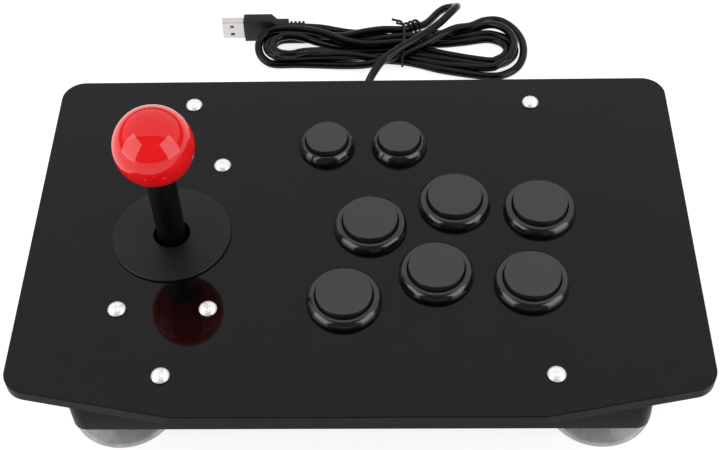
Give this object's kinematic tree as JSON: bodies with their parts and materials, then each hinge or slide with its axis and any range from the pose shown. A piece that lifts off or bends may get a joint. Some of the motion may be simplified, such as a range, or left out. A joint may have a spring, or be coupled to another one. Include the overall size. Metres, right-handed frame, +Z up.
{
  "type": "arcade joystick panel",
  "caption": "Flat black panel on a shallow case with suction cup feet, a ball top lever on the left, round push buttons on the right and a tied USB lead.",
  "frame": {"origin": "on the table under the middle of the panel", "axes": "+X to the player's right, +Y away from the player, +Z up"},
  "size_m": [0.3, 0.3052, 0.1271],
  "materials": {
    "panel": "polished black acrylic with satin cut edges",
    "case": "black moulded ABS, satin",
    "sleeve": "black moulded plastic tube",
    "washer": "black flat plastic disc, matt",
    "bolt": "bright nickel plated steel domes",
    "cup": "translucent grey soft PVC",
    "button_rim": "glossy black moulded plastic",
    "button_cap": "satin black moulded plastic",
    "switch": "black switch housing",
    "steel": "zinc plated steel",
    "board": "green circuit board with soldered parts",
    "white_plastic": "white acetal",
    "ball": "glossy red moulded ball",
    "cord": "black soft PVC jacket",
    "usb_metal": "bright nickel plated sheet"
  },
  "bodies": {
    "case": {"top_panel": "panel", "bottom_case": "case", "stick_housing": "case", "restrictor_gate": "case", "panel_screw_front_left": "bolt", "panel_screw_front_right": "bolt", "panel_screw_back_left": "bolt", "panel_screw_back_right": "bolt", "stick_screw_front_left": "bolt", "stick_screw_front_right": "bolt", "stick_screw_back_left": "bolt", "stick_screw_back_right": "bolt", "suction_cup_front_left": "cup", "suction_cup_front_right": "cup", "suction_cup_back_left": "cup", "suction_cup_back_right": "cup", "button_body_upper_left": "button_rim", "button_body_upper_middle": "button_rim", "button_body_upper_right": "button_rim", "button_body_lower_left": "button_rim", "button_body_lower_middle": "button_rim", "button_body_lower_right": "button_rim", "button_body_start": "button_rim", "button_body_select": "button_rim", "button_switch_upper_left": "switch", "button_switch_upper_middle": "switch", "button_switch_upper_right": "switch", "button_switch_lower_left": "switch", "button_switch_lower_middle": "switch", "button_switch_lower_right": "switch", "button_switch_start": "switch", "button_switch_select": "switch", "stick_mount_plate": "steel", "stick_switch_board": "board", "encoder_board": "board", "usb_tongue": "white_plastic", "cable_grommet": "cord", "cord_lead": "cord", "cord_tail": "cord", "cord_hank": "cord", "usb_moulding": "cord", "twist_tie": "cord", "usb_shell": "usb_metal"},
    "pivot": {"pivot_bush": "white_plastic"},
    "stick": {"stick_shaft": "steel", "ball_top": "ball", "shaft_sleeve": "sleeve", "stick_actuator": "white_plastic", "return_spring": "steel", "retaining_clip": "steel"},
    "inner_washer": {"inner_dust_washer": "case"},
    "outer_washer": {"dust_washer": "washer"},
    "plunger_upper_left": {"button_plunger_upper_left": "button_cap"},
    "plunger_upper_middle": {"button_plunger_upper_middle": "button_cap"},
    "plunger_upper_right": {"button_plunger_upper_right": "button_cap"},
    "plunger_lower_left": {"button_plunger_lower_left": "button_cap"},
    "plunger_lower_middle": {"button_plunger_lower_middle": "button_cap"},
    "plunger_lower_right": {"button_plunger_lower_right": "button_cap"},
    "plunger_start": {"button_plunger_start": "button_cap"},
    "plunger_select": {"button_plunger_select": "button_cap"}
  },
  "joints": [
    {"name": "stick_fore_aft", "type": "hinge", "parent": "case", "child": "pivot", "pos_m": [-0.0858, -0.0012, 0.038], "axis": [-1, 0, 0], "range_deg": [-8, 8], "stiffness_Nm_per_rad": 0.6},
    {"name": "stick_side", "type": "hinge", "parent": "pivot", "child": "stick", "pos_m": [-0.0858, -0.0012, 0.038], "axis": [0, 1, 0], "range_deg": [-8, 8], "stiffness_Nm_per_rad": 0.6},
    {"name": "washer_side", "type": "slide", "parent": "case", "child": "inner_washer", "axis": [1, 0, 0], "range_m": [-0.0019, 0.0019]},
    {"name": "washer_fore_aft", "type": "slide", "parent": "inner_washer", "child": "outer_washer", "axis": [0, 1, 0], "range_m": [-0.0019, 0.0019]},
    {"name": "press_upper_left", "type": "slide", "parent": "case", "child": "plunger_upper_left", "axis": [0, 0, -1], "range_m": [0, 0.0025], "stiffness_N_per_m": 150, "springref_m": -0.006},
    {"name": "press_upper_middle", "type": "slide", "parent": "case", "child": "plunger_upper_middle", "axis": [0, 0, -1], "range_m": [0, 0.0025], "stiffness_N_per_m": 150, "springref_m": -0.006},
    {"name": "press_upper_right", "type": "slide", "parent": "case", "child": "plunger_upper_right", "axis": [0, 0, -1], "range_m": [0, 0.0025], "stiffness_N_per_m": 150, "springref_m": -0.006},
    {"name": "press_lower_left", "type": "slide", "parent": "case", "child": "plunger_lower_left", "axis": [0, 0, -1], "range_m": [0, 0.0025], "stiffness_N_per_m": 150, "springref_m": -0.006},
    {"name": "press_lower_middle", "type": "slide", "parent": "case", "child": "plunger_lower_middle", "axis": [0, 0, -1], "range_m": [0, 0.0025], "stiffness_N_per_m": 150, "springref_m": -0.006},
    {"name": "press_lower_right", "type": "slide", "parent": "case", "child": "plunger_lower_right", "axis": [0, 0, -1], "range_m": [0, 0.0025], "stiffness_N_per_m": 150, "springref_m": -0.006},
    {"name": "press_start", "type": "slide", "parent": "case", "child": "plunger_start", "axis": [0, 0, -1], "range_m": [0, 0.0025], "stiffness_N_per_m": 150, "springref_m": -0.006},
    {"name": "press_select", "type": "slide", "parent": "case", "child": "plunger_select", "axis": [0, 0, -1], "range_m": [0, 0.0025], "stiffness_N_per_m": 150, "springref_m": -0.006}
  ],
  "couplings": [
    {"joint": "washer_side", "follows": "stick_side", "m_per_rad": 0.0128},
    {"joint": "washer_fore_aft", "follows": "stick_fore_aft", "m_per_rad": 0.0128}
  ]
}
